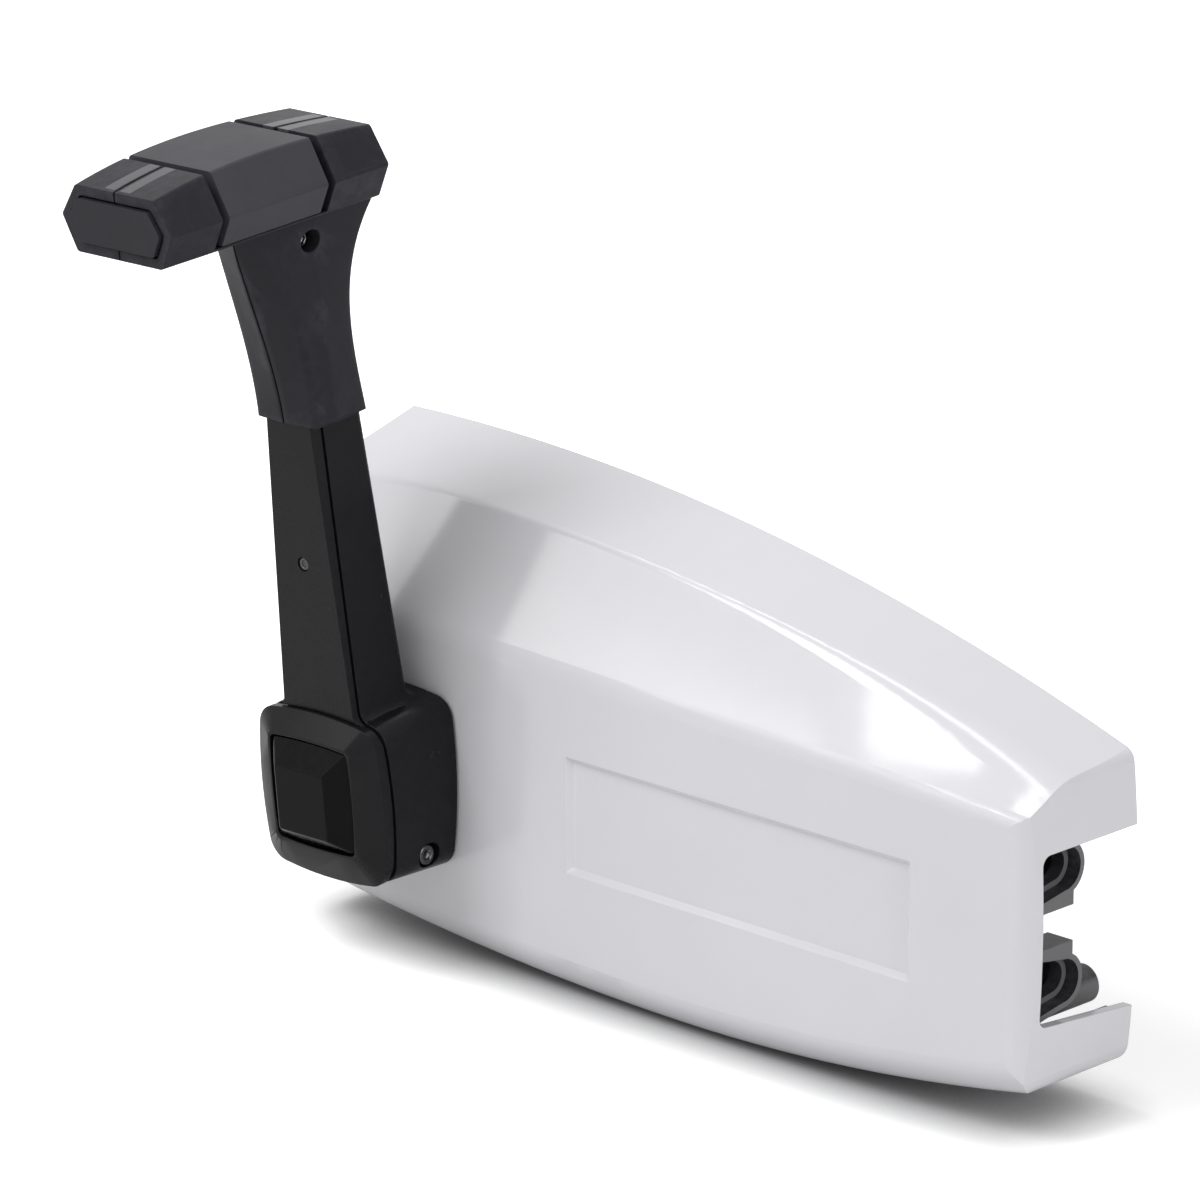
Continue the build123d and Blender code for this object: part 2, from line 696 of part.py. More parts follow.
def make_hub_body():
    """Rear shell of the hub with the stem and the tongue that carries the handle."""
    front = across_y(hub_parting) * barrel_square(hub_half_front, hub_half_front, hub_bulge, hub_corner)
    back = across_y(hub_back + 6) * barrel_square(hub_half_back, hub_half_back, hub_bulge, hub_corner)
    hub = loft([front, back], ruled=True)
    stem = stem_part(hub_parting, None, 0, 10, neck_bottom)
    upright = stem.edges().filter_by(lambda e: e.length > 3 * stem_half_bottom)
    stem = fillet(upright.group_by(Axis.Y)[-1], stem_round)
    body = hub + stem
    shoulder = hub_center_z + hub_half_front - 2 * hub_bulge
    foot = body.edges().filter_by(lambda e: shoulder < e.center().Z < stem_bottom + hub_bulge
                                  and hub_parting + 1 < e.center().Y < hub_back
                                  and e.geom_type == GeomType.BSPLINE)
    body = fillet(foot, flare_round)
    body += block(-tongue_half, tongue_half, tongue_front, tongue_back, neck_bottom - 8, tongue_top)
    body -= extrude(across_y(hub_parting + button_travel + 1) * window_plate(window_ledge), 5)
    body -= cyl_y(spring_r + 1.5, hub_parting, spring_seat, 0, window_center_z)
    body -= cyl_x(hub_screw_r + hub_screw_room, hub_screw_seat, 40, hub_screw_y, hub_screw_z)
    body -= cyl_x(hub_screw_shank, -10, 40, hub_screw_y, hub_screw_z)
    return body


def finish_hub(body):
    """Cut the leaned hub flush with the housing and bore it for the shaft."""
    body -= block(-60, 60, hub_back, 20, -60, 60)
    body -= cyl_y(shaft_r, shaft_front, 0)
    body -= cyl_y(bearing_boss_r + 1.0, hub_back - 1.0, 0)
    return body


def make_plate():
    """Thin plate between the rear shell and the front pieces; its edge shows."""
    back, front = hub_parting - groove, hub_parting - groove - plate_thickness
    body = extrude(across_y(back) * footed_hub(groove_depth), plate_thickness)
    body += stem_part(front, back, groove_depth, stem_bottom, neck_bottom - seat)
    return body - extrude(across_y(back + 5) * window_plate(window_ledge), 20)


def make_stem_cover():
    """Front cover of the stem, above the bezel."""
    back = hub_parting - 2 * groove - plate_thickness
    body = stem_part(None, back, 0, stem_bottom, neck_bottom - seat)
    body += extrude(across_y(back) * footed_hub(0.0), back - stem_front_bottom)
    around = hub_half_front + seat
    body -= extrude(across_y(back + 1) * barrel_square(around, around, hub_bulge, hub_corner), 10)
    body -= cyl_y(stem_screw_r + 0.2, -90, stem_screw_seat, 0, stem_screw_z)
    return max(body.solids(), key=lambda solid: solid.volume)


def make_bezel():
    """Raised ring round the button."""
    back = hub_parting - 2 * groove - plate_thickness
    outer = barrel_square(hub_half_front, hub_half_front, hub_bulge, hub_corner)
    rim = window(bezel_rim)
    body = extrude(across_y(back) * outer, back - hub_front)
    body += loft([across_y(hub_front) * outer, across_y(bezel_front) * rim], ruled=True)
    body -= extrude(across_y(back + 5) * window(0.0), 30)
    return body - extrude(across_y(back + 1) * window_plate(window_ledge), 1 + ledge_depth)


def flange_front():
    """Front of the button's flange, just behind the bezel's ledge."""
    return hub_parting - 2 * groove - plate_thickness - ledge_depth + running


def make_button():
    """Pyramid button with the flange that keeps it behind the bezel."""
    base = window(-button_gap)
    flat = Pos(0, window_center_z - button_drop) * RectangleRounded(button_flat, button_flat, 1.0)
    shoulder = bezel_front + button_shoulder
    front = flange_front()
    body = extrude(across_y(front + button_flange) * window_plate(window_ledge - button_gap), button_flange)
    body += extrude(across_y(front) * base, front - shoulder)
    body += loft([across_y(shoulder) * base, across_y(shoulder - button_rise) * flat], ruled=True)
    return body


def six_sided(half, top, inward):
    """Grip outline with its widest points level with the origin."""
    slope = half - grip_half + grip_flat
    points = [(-slope + 1.5, top), (slope - 1.5, top), (half, 0),
              (slope, -grip_low), (-slope, -grip_low), (-half, 0)]
    return outline(inset(points, [inward] * 6))


def grip_section(y, inward):
    """Six-sided section of the grip square to Y, moved inward; only the outside is rounded."""
    crest = (pad_outer + pad_inner) / 2
    half = grip_half
    if y < crest:
        t = (crest - y) / (crest - grip_outer)
        top = blend(grip_top_mid, grip_top_outer, t * t)
        half = blend(grip_half, grip_half_outer, t * t)
    else:
        t = (y - crest) / (grip_inner - crest)
        top = blend(grip_top_mid, grip_top_inner, t * t)
    face = six_sided(half, top, inward)
    if inward == 0:
        face = fillet(face.vertices(), grip_edge)
    return across_y(y) * (Pos(0, grip_mid_z) * face)


def grip_bar(inward):
    """Whole arched bar of the grip."""
    spans = 4
    stations = [blend(grip_outer, grip_inner, i / spans) for i in range(spans + 1)]
    return loft([grip_section(y, inward) for y in stations], ruled=inward > 0)


def neck_section(z, front, corner, side, back, half_front, half_side, half_back):
    """Section of the neck, out from the hub's back: a shallow ridge in front, wider behind."""
    right = [(0, -front), (half_front, -corner), (half_side, -side), (half_back, -back)]
    left = [(-x, y) for x, y in reversed(right) if x > 0]
    return Pos(0, hub_back, z) * fillet(outline(right + left).vertices(), grip_edge)


def make_neck():
    """Neck below the grip, flaring into its inner block."""
    return loft([
        neck_section(neck_bottom, 34.0, 32.9, 23.1, 8.6, 13.6, 13.8, 12.0),
        neck_section(168, 42.6, 38.6, 27.1, 12.7, 14.4, 14.6, 13.4),
        neck_section(186, 47.6, 42.4, 29.1, 10.6, 15.0, 16.4, 16.6),
        neck_section(grip_mid_z - grip_low + neck_sunk, 50.6, 44.6, 31.1, 4.6, 16.0, 19.2, 20.4)])


def make_handle():
    """Both handle halves as one form: end blocks, core under the pad, and neck."""
    bar = grip_bar(0)
    low = grip_mid_z - grip_low + rail
    pad_zone = block(-40, 40, pad_outer - block_gap, pad_inner + block_gap, low, 300)
    core = grip_bar(pad_thickness + seat) + block(-pad_mouth, pad_mouth, grip_outer, grip_inner,
                                                  low - 1, grip_mid_z)
    core &= block(-40, 40, pad_outer - 10, pad_inner + 10, 100, 300)
    body = (bar + make_neck() - pad_zone) + core
    tongue = block(-tongue_half - seat, tongue_half + seat, tongue_front - seat, tongue_back + seat,
                   neck_bottom - 1, tongue_top + seat)
    body -= tongue
    body -= rocker_form(rocker_gap, rocker_depth + rocker_throw)
    body -= rocker_pin(running)
    body -= trim_switch(seat)
    body -= cyl_x(handle_screw_r + handle_screw_room, handle_screw_seat, 40, handle_screw_y, handle_screw_z)
    body -= cyl_x(handle_screw_shank, -10, 40, handle_screw_y, handle_screw_z)
    skin = bar - grip_bar(slit_depth)
    for y0, y1 in ((grip_outer - 1, pad_outer - block_gap), (pad_inner + block_gap, grip_inner + 1)):
        body -= skin & block(-slit_width / 2, slit_width / 2, y0, y1, grip_mid_z + 4, 300)
    return body


def trim_switch(grow):
    """Switch behind the rocker."""
    w, d, h = trim_switch_size
    y0 = grip_outer + rocker_depth + rocker_throw
    return block(-w / 2 - grow, w / 2 + grow, y0 - grow, y0 + d + grow,
                 grip_mid_z - h / 2 - grow, grip_mid_z + h / 2 + grow)


def rocker_pin(grow):
    """Pin the rocker turns on, or its hole when grown."""
    middle = Pos(0, grip_outer + rocker_pin_at, grip_mid_z)
    return middle * Cylinder(rocker_pin_r + grow, rocker_pin_length + 2 * grow)


def make_inlays(depth):
    """Satin strips beside the slit on top of both end blocks."""
    skin = grip_bar(0) - grip_bar(depth)
    strips = []
    for y0, y1 in ((grip_outer + 1.5, pad_outer - block_gap), (pad_inner + block_gap, grip_inner - 1.5)):
        for side in (-1, 1):
            x0, x1 = side * inlay_offset, side * (inlay_offset + inlay_width)
            strips.append(skin & block(x0, x1, y0, y1, grip_mid_z + 4, 300))
    return strips


def rocker_form(grow, depth):
    """Six-sided rocker outline grown by a gap, reaching inward from the end face."""
    face = six_sided(grip_half_outer, grip_top_outer, rocker_inset - grow)
    face = fillet(face.vertices(), grip_edge)
    return extrude(across_y(grip_outer + depth) * (Pos(0, grip_mid_z) * face), depth + rocker_proud)


def make_saddle_pad():
    """Palm pad: an inverted U over the grip's middle."""
    low = grip_mid_z - grip_low + rail + seat
    mouth = pad_mouth + seat
    shell = grip_bar(0) - grip_bar(pad_thickness) - block(-mouth, mouth, -200, 0, 0, grip_mid_z)
    return shell & block(-40, 40, pad_outer, pad_inner, low, 300)


def export(shape, name):
    """Write one sub-part under its own name."""
    shape.label = name
    export_step(shape, os.path.join("parts", name + ".step"))
    print(name, len(shape.solids()), round(shape.volume))


def make_fasteners():
    """Nut, washers, clips and screws, by name."""
    boss_back = gear_back - gear_width - washer_room
    arm_back = gear_back + cam_width + arm_thickness
    web_back = web_front + web_thickness
    nut = extrude(across_y(arm_back + nut_width) * RegularPolygon(nut_r, 6), nut_width)
    washer = cyl_y(shaft_r + washer_rim, boss_back + end_play, boss_back + end_play + washer_thickness)
    clip = cyl_y(pivot_r + clip_rim, gear_back + end_play, gear_back + end_play + clip_thickness, pivot_x)
    screws = []
    for x, z in cover_posts:
        screw = cyl_y(post_screw_r, web_front - post_screw_grip, web_back, x, z)
        head = across_y(web_back + post_screw_head) * (Pos(x, z) * RegularPolygon(post_screw_head_r, 6))
        screws.append(screw + extrude(head, post_screw_head))
    return {
        "shaft_nut": nut - cyl_y(shaft_r, -60, 5),
        "friction_washer": washer - cyl_y(shaft_r, -60, 5),
        "shift_pivot_pin": cyl_y(pivot_r, web_front, gear_back + 2 * clip_thickness, pivot_x),
        "pivot_clip": clip - cyl_y(pivot_r, -60, 5, pivot_x),
        "cover_screws": Compound(children=screws),
        "throttle_cable_pin": make_cable_pin(throttle_arm_length, gear_back + cam_width),
        "shift_cable_pin": make_cable_pin(pivot_x + shift_arm_length, gear_back - arm_thickness),
    }


def make_lever_screws():
    """Hub clamp screw, stem screw and handle screw, by name, in the upright lever."""
    stem = cyl_y(stem_screw_r, stem_screw_seat - stem_screw_length, stem_screw_seat, 0, stem_screw_z)
    stem -= cyl_y(0.45 * stem_screw_r, -90, stem_screw_seat - stem_screw_length / 3, 0, stem_screw_z)
    return {
        "hub_screw": cross_screw(hub_screw_r, hub_screw_shank, hub_screw_seat, hub_screw_y, hub_screw_z),
        "stem_screw": stem,
        "handle_screw": cross_screw(handle_screw_r, handle_screw_shank, handle_screw_seat,
                                    handle_screw_y, handle_screw_z),
    }


def cross_screw(head_r, shank_r, head_x, y, z):
    """Socket-head screw along X, its head's underside at head_x."""
    screw = cyl_x(shank_r, -screw_reach, head_x, y, z) + cyl_x(head_r, head_x, head_x + head_r, y, z)
    return screw - cyl_x(head_r / 2, head_x + head_r / 3, head_x + 2 * head_r, y, z)


def main():
    os.makedirs("parts", exist_ok=True)
    outer, inner = housing_form(0.0), housing_form(cover_wall)
    export(make_cover(outer, inner), "housing_cover")
    inward = cover_wall + fit_gap
    export(make_chassis(housing_form(inward), housing_form(inward + rim_thickness)), "chassis")
    export(make_bushings(), "shaft_bushings")
    export(cyl_y(shaft_r, shaft_front, -2.5), "main_shaft")
    export(make_drive_gear(), "drive_gear")
    export(make_throttle_arm(), "throttle_arm")
    export(make_shift_sector(), "shift_sector")
    export(finish_hub(leaned(make_hub_body())), "hub_body")
    export(leaned(make_plate()), "lever_plate")
    export(leaned(make_stem_cover()), "stem_cover")
    export(leaned(make_bezel()), "hub_bezel")
    export(leaned(make_button()), "throttle_button")
    for name, shape in make_fasteners().items():
        export(shape, name)
    for name, shape in make_lever_screws().items():
        export(leaned(shape), name)
    plunger, coil = make_detent()
    export(plunger, "detent_plunger")
    export(coil, "detent_spring")
    switch, switch_screws = make_neutral_switch()
    export(switch, "neutral_switch")
    export(Compound(children=switch_screws), "switch_screws")
    clamps, pins = make_cable_clamps()
    export(Compound(children=clamps), "cable_clamps")
    export(Compound(children=pins), "clamp_pins")
    length = spring_seat - flange_front() - button_flange
    coil = Rot(90, 0, 0) * make_spring(spring_r, spring_wire, length, spring_turns)
    export(leaned(Pos(0, spring_seat, window_center_z) * coil), "button_spring")
    handle = make_handle()
    inlays = make_inlays(inlay_thickness)
    for strip in inlays:
        handle -= strip
    export(Compound(children=[leaned(strip) for strip in inlays]), "grip_inlays")
    for name, side in (("handle_left", -1), ("handle_right", 1)):
        half = handle & block(side * half_gap, side * 60, -200, 0, 0, 300)
        export(leaned(half), name)
    export(leaned(make_saddle_pad()), "grip_saddle")
    export(leaned(rocker_form(0.0, rocker_depth) - rocker_pin(running)), "trim_rocker")
    export(leaned(trim_switch(0.0)), "trim_switch")
    export(leaned(rocker_pin(0.0)), "rocker_pin")


main()
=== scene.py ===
import json
from math import cos, pi, radians, sin, tan

import bmesh
import bpy
from mathutils import Matrix, Vector

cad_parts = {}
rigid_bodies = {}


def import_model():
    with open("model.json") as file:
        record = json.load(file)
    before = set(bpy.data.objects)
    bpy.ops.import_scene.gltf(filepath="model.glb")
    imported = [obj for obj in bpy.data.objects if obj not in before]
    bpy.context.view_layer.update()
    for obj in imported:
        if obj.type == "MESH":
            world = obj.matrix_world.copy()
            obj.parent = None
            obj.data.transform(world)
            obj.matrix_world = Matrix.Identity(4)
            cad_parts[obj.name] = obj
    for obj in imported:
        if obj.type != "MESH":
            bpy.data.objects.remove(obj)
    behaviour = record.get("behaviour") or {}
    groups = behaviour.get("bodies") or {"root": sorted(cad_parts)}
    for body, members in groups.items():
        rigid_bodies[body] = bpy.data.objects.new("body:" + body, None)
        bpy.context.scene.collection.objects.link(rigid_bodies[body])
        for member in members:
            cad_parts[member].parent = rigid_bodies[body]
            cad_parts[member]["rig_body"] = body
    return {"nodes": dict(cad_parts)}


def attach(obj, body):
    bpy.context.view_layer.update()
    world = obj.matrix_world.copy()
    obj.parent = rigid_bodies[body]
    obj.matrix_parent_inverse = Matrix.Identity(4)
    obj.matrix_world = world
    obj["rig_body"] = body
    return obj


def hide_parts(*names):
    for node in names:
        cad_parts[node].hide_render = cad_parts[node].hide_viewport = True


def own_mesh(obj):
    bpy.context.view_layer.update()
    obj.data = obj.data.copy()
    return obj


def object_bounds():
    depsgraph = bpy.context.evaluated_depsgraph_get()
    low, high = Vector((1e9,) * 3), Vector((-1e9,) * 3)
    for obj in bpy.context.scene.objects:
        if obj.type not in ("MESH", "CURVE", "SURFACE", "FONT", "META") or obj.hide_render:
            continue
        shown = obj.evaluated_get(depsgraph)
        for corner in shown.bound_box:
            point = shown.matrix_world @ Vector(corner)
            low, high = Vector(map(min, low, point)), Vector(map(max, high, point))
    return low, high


bl_info = {
    "name": "Side-mount throttle control",
    "version": (1, 0, 0),
    "blender": (4, 5, 0),
    "location": "View3D > Sidebar > Throttle",
    "description": "Finishes the moulded housing, lever and cable seats of a boat throttle control",
    "category": "Object",
}

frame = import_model()
cad_low, cad_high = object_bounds()
MM = 0.001
LEVER_LEAN, LEVER_RAKE = radians(4.6), radians(1.0)     # as the lever stands at rest
LEVER_SIDE = Vector((cos(LEVER_RAKE), 0.0, sin(LEVER_RAKE)))
LEVER_FRONT = Vector((0.0, -cos(LEVER_LEAN), -sin(LEVER_LEAN)))
NECK_TOP = 188 * MM             # height at which the neck runs into the grip
NECK_BLEND = 8 * MM             # height over which the neck's soft corners give way to the grip's crisp ones
SEAM_HALF_WIDTH = 0.2 * MM      # of the painted shade line between the handle halves
SEAM_FADE = 0.25 * MM           # over which that line runs out on each side
# darkening and reflection level of the painted shade along that line
SEAM_SHADE_TONE, SEAM_SPECULAR = 0.1, 0.01
WELD = 0.002 * MM               # points closer than this are one
HEAD_FACE = 0.02 * MM           # points this close to a screw's front lie on its face
SOCKET_REACH, SOCKET_EDGE = 0.46, 0.07      # half width and chamfer, as shares of the head's radius
SOCKET_DEPTH = 0.62                         # share of the head's length
HEAD_RIM = ((0.60, 0.0), (0.84, 0.0), (0.93, 0.03), (0.98, 0.10), (1.0, 0.20))  # reach and depth in radii
SCREWS = (                      # node, way it faces; head radius, shank radius and head length in mm
    ("hub_screw", LEVER_SIDE, 3.4, 2.2, 3.4),
    ("handle_screw", LEVER_SIDE, 3.2, 1.8, 3.2),
    ("stem_screw", LEVER_FRONT, 2.2, 2.0, 0.6))
DUST_COLOUR = (0.45, 0.44, 0.42, 1.0)
# colour of the painted contact shadow on the floor
CONTACT_SHADOW_COLOUR = (0.12, 0.12, 0.13, 1.0)
FLOOR_DARK, FLOOR_PALE = (0.80, 0.80, 0.80, 1.0), (0.83, 0.83, 0.83, 1.0)
WHITE = (1.0, 1.0, 1.0, 1.0)
GLOW_MIDDLE = 0.13              # place along X about which the floor's glow grows
GLOW_START, GLOW_END = 0.15, 0.36
PLASTIC_IOR = 1.49


# ---------------------------------------------------------------- node helpers
def feed(tree, node, name, value):
    """Link a socket to an input, or set the input's value."""
    target = node.inputs[name]
    if isinstance(value, bpy.types.NodeSocket):
        tree.links.new(value, target)
    else:
        target.default_value = value


def put(tree, kind, settings=None, **inputs):
    """Add a node, set its fields, and feed its inputs; underscores in names stand for spaces."""
    node = tree.nodes.new(kind)
    for field, value in (settings or {}).items():
        setattr(node, field, value)
    for name, value in inputs.items():
        feed(tree, node, name.replace("_", " "), value)
    return node


def sums(tree, operation, a, b=0.0, clamp=False):
    """Output of a Math node."""
    node = tree.nodes.new("ShaderNodeMath")
    node.operation = operation
    node.use_clamp = clamp
    feed(tree, node, 0, a)
    feed(tree, node, 1, b)
    return node.outputs[0]


def remap(tree, value, low, high, to_low=0.0, to_high=1.0):
    """Output of a clamped Map Range node."""
    node = put(tree, "ShaderNodeMapRange", Value=value)
    node.clamp = True
    for name, number in (("From Min", low), ("From Max", high), ("To Min", to_low), ("To Max", to_high)):
        node.inputs[name].default_value = number
    return node.outputs["Result"]


def mix_colours(tree, mask, a, b):
    """Colour a where the mask is 0 and b where it is 1."""
    node = tree.nodes.new("ShaderNodeMix")
    node.data_type = "RGBA"
    feed(tree, node, 0, mask)
    feed(tree, node, 6, a)
    feed(tree, node, 7, b)
    return node.outputs[2]


def new_group(name, inputs, outputs):
    """Empty shader node group with named sockets; returns it with its input and output nodes."""
    group = bpy.data.node_groups.new(name, "ShaderNodeTree")
    for label, kind, default in inputs:
        socket = group.interface.new_socket(label, in_out="INPUT", socket_type=kind)
        if default is not None:
            socket.default_value = default
    for label, kind in outputs:
        group.interface.new_socket(label, in_out="OUTPUT", socket_type=kind)
    return group, group.nodes.new("NodeGroupInput"), group.nodes.new("NodeGroupOutput")


FLOAT, VECTOR, COLOUR = "NodeSocketFloat", "NodeSocketVector", "NodeSocketColor"


def build_mould_grain():
    """Fine spark-eroded grain and slow tone drift of a moulded surface."""
    group, given, out = new_group(
        "mould_grain",
        [("Vector", VECTOR, None), ("Grain Size", FLOAT, 0.4), ("Drift Size", FLOAT, 40.0)],
        [("Height", FLOAT), ("Drift", FLOAT)])
    fine = put(group, "ShaderNodeTexNoise", Vector=given.outputs["Vector"],
               Scale=sums(group, "DIVIDE", 1000.0, given.outputs["Grain Size"]), Detail=2.0, Roughness=0.55)
    pits = put(group, "ShaderNodeTexVoronoi", {"feature": "SMOOTH_F1"}, Vector=given.outputs["Vector"],
               Scale=sums(group, "DIVIDE", 700.0, given.outputs["Grain Size"]))
    slow = put(group, "ShaderNodeTexNoise", Vector=given.outputs["Vector"],
               Scale=sums(group, "DIVIDE", 1000.0, given.outputs["Drift Size"]), Detail=4.0, Roughness=0.6)
    height = sums(group, "ADD", sums(group, "MULTIPLY", fine.outputs["Fac"], 0.6),
                  sums(group, "MULTIPLY", pits.outputs["Distance"], 0.4))
    feed(group, out, "Height", height)
    feed(group, out, "Drift", remap(group, slow.outputs["Fac"], 0.3, 0.7))
    return group


def build_edge_wear():
    """Mask of the rubbed convex edges, broken up by noise."""
    group, given, out = new_group(
        "edge_wear",
        [("Vector", VECTOR, None), ("Reach", FLOAT, 0.04), ("Patch Size", FLOAT, 6.0)],
        [("Mask", FLOAT)])
    bend = group.nodes.new("ShaderNodeNewGeometry").outputs["Pointiness"]
    rise = sums(group, "DIVIDE", sums(group, "SUBTRACT", bend, 0.5), given.outputs["Reach"], clamp=True)
    patch = put(group, "ShaderNodeTexNoise", Vector=given.outputs["Vector"],
                Scale=sums(group, "DIVIDE", 1000.0, given.outputs["Patch Size"]), Detail=5.0, Roughness=0.7)
    feed(group, out, "Mask", sums(group, "MULTIPLY", rise, remap(group, patch.outputs["Fac"], 0.35, 0.65)))
    return group


def build_handling():
    """Smudges and wiped streaks that change the gloss a little."""
    group, given, out = new_group(
        "handling",
        [("Vector", VECTOR, None), ("Smudge Size", FLOAT, 25.0)],
        [("Gloss Change", FLOAT)])
    warped = put(group, "ShaderNodeTexNoise", Vector=given.outputs["Vector"],
                 Scale=sums(group, "DIVIDE", 1000.0, given.outputs["Smudge Size"]), Detail=5.0,
                 Roughness=0.65, Distortion=0.8)
    feed(group, out, "Gloss Change", remap(group, warped.outputs["Fac"], 0.25, 0.75, -1.0, 1.0))
    return group


def build_settled_dust():
    """Mask of the thin dust that lies on faces that look up."""
    group, given, out = new_group(
        "settled_dust",
        [("Vector", VECTOR, None), ("Speck Size", FLOAT, 3.0)],
        [("Mask", FLOAT)])
    facing = put(group, "ShaderNodeSeparateXYZ",
                 Vector=group.nodes.new("ShaderNodeNewGeometry").outputs["Normal"])
    speck = put(group, "ShaderNodeTexNoise", Vector=given.outputs["Vector"],
                Scale=sums(group, "DIVIDE", 1000.0, given.outputs["Speck Size"]), Detail=6.0, Roughness=0.75)
    mask = sums(group, "MULTIPLY", remap(group, facing.outputs["Z"], 0.2, 1.0),
                remap(group, speck.outputs["Fac"], 0.45, 0.75))
    feed(group, out, "Mask", mask)
    return group


def build_tool_marks():
    """Turned or drawn metal: fine lines across the object's Y axis, and stains."""
    group, given, out = new_group(
        "tool_marks",
        [("Vector", VECTOR, None), ("Line Size", FLOAT, 0.15), ("Stain Size", FLOAT, 9.0)],
        [("Height", FLOAT), ("Stain", FLOAT)])
    stretched = put(group, "ShaderNodeMapping", Vector=given.outputs["Vector"], Scale=(0.08, 1.0, 0.08))
    lines = put(group, "ShaderNodeTexNoise", Vector=stretched.outputs["Vector"],
                Scale=sums(group, "DIVIDE", 1000.0, given.outputs["Line Size"]), Detail=3.0, Roughness=0.6)
    stain = put(group, "ShaderNodeTexNoise", Vector=given.outputs["Vector"],
                Scale=sums(group, "DIVIDE", 1000.0, given.outputs["Stain Size"]), Detail=6.0, Roughness=0.7)
    feed(group, out, "Height", lines.outputs["Fac"])
    feed(group, out, "Stain", remap(group, stain.outputs["Fac"], 0.4, 0.7))
    return group


def shared_group(name, build):
    """The named effect, built the first time it is asked for."""
    return bpy.data.node_groups.get(name) or build()


def place_group(tree, name, build, **inputs):
    """One use of a shared effect in a material."""
    return put(tree, "ShaderNodeGroup", {"node_tree": shared_group(name, build)}, **inputs)


def new_material(name):
    """New material with its node tree and its Principled shader."""
    material = bpy.data.materials.new(name)
    material.use_nodes = True
    return material, material.node_tree, material.node_tree.nodes["Principled BSDF"]


def ray_masks(tree):
    """Masks of the rays that the camera sends, and of those that metal and glass send on."""
    path = tree.nodes.new("ShaderNodeLightPath")
    mirrored = sums(tree, "MAXIMUM", path.outputs["Is Glossy Ray"], path.outputs["Is Transmission Ray"])
    return path.outputs["Is Camera Ray"], mirrored


def tone(colour, factor):
    """Colour made lighter or darker."""
    return [min(1.0, c * factor) for c in colour[:3]] + [1.0]


# -------------------------------------------------------------------- materials
def seam_shade_mask(tree, place):
    """Mask of the painted shade along the thin line where the two handle halves meet."""
    spot = put(tree, "ShaderNodeSeparateXYZ", Vector=place)
    offset = sums(tree, "ADD", spot.outputs["X"], sums(tree, "MULTIPLY", spot.outputs["Z"], tan(LEVER_RAKE)))
    return remap(tree, sums(tree, "ABSOLUTE", offset), SEAM_HALF_WIDTH + SEAM_FADE, SEAM_HALF_WIDTH)


def rounded_normal(tree, place, soft_edge, soft_neck):
    """Normal that rounds every edge, and the neck's corners more widely where soft_neck is given."""
    radius = soft_edge * MM
    if soft_neck > 0:
        height = put(tree, "ShaderNodeSeparateXYZ", Vector=place).outputs["Z"]
        radius = remap(tree, height, NECK_TOP - NECK_BLEND, NECK_TOP, soft_neck * MM, radius)
    return put(tree, "ShaderNodeBevel", {"samples": 6}, Radius=radius).outputs["Normal"]


def moulded(name, colour, roughness, grain_size, grain_depth, gloss_spread=0.04, drift=0.06,
            wear=0.0, wear_tone=2.0, dust=0.02, specular=0.25, soft_edge=0.0, soft_neck=0.0,
            seam=False, machined=None):
    """Moulded plastic or coated surface with grain, smudges, rubbed edges and a little dust.

    Lengths are in millimetres. soft_edge rounds the shading of edges, and soft_neck that of the
    neck's corners; seam paints shade along the handle's parting line; the last argument is a lighter colour
    painted as light on faces that look along +X.
    """
    material, tree, shader = new_material(name)
    place = tree.nodes.new("ShaderNodeTexCoord").outputs["Object"]
    grain = place_group(tree, "mould_grain", build_mould_grain, Vector=place, Grain_Size=grain_size)
    smudge = place_group(tree, "handling", build_handling, Vector=place)
    rubbed = place_group(tree, "edge_wear", build_edge_wear, Vector=place)
    settled = place_group(tree, "settled_dust", build_settled_dust, Vector=place)
    base = mix_colours(tree, grain.outputs["Drift"], tone(colour, 1 - drift), tone(colour, 1 + drift))
    rub_mask = sums(tree, "MULTIPLY", rubbed.outputs["Mask"], wear)
    base = mix_colours(tree, rub_mask, base, tone(colour, wear_tone))
    # Painted light: faces that look along +X get a lighter colour, as if lit from that side.
    if machined is not None:
        facing = put(tree, "ShaderNodeSeparateXYZ",
                     Vector=tree.nodes.new("ShaderNodeNewGeometry").outputs["Normal"])
        lit_side_mask = remap(tree, facing.outputs["X"], 0.8, 0.95)
        base = mix_colours(tree, lit_side_mask, base, tone(machined, 1.0))
    dust_mask = sums(tree, "MULTIPLY", settled.outputs["Mask"], dust)
    base = mix_colours(tree, dust_mask, base, DUST_COLOUR)
    gloss = sums(tree, "MULTIPLY_ADD", smudge.outputs["Gloss Change"], gloss_spread)
    gloss.node.inputs[2].default_value = roughness
    gloss = sums(tree, "ADD", gloss, sums(tree, "MULTIPLY", dust_mask, 0.4), clamp=True)
    bump = put(tree, "ShaderNodeBump", Height=grain.outputs["Height"],
               Distance=grain_depth * MM, Strength=1.0)
    shader.inputs["Specular IOR Level"].default_value = specular
    shader.inputs["IOR"].default_value = PLASTIC_IOR
    # Painted shade: the parting line is darkened and loses its reflection, as the gap between the halves
    # would lie in shade.
    if seam:
        line = seam_shade_mask(tree, place)
        base = mix_colours(tree, line, base, tone(colour, SEAM_SHADE_TONE))
        feed(tree, shader, "Specular IOR Level", remap(tree, line, 0.0, 1.0, specular, SEAM_SPECULAR))
    if soft_edge > 0:
        feed(tree, bump, "Normal", rounded_normal(tree, place, soft_edge, soft_neck))
    feed(tree, shader, "Base Color", base)
    feed(tree, shader, "Roughness", gloss)
    feed(tree, shader, "Normal", bump.outputs["Normal"])
    return material


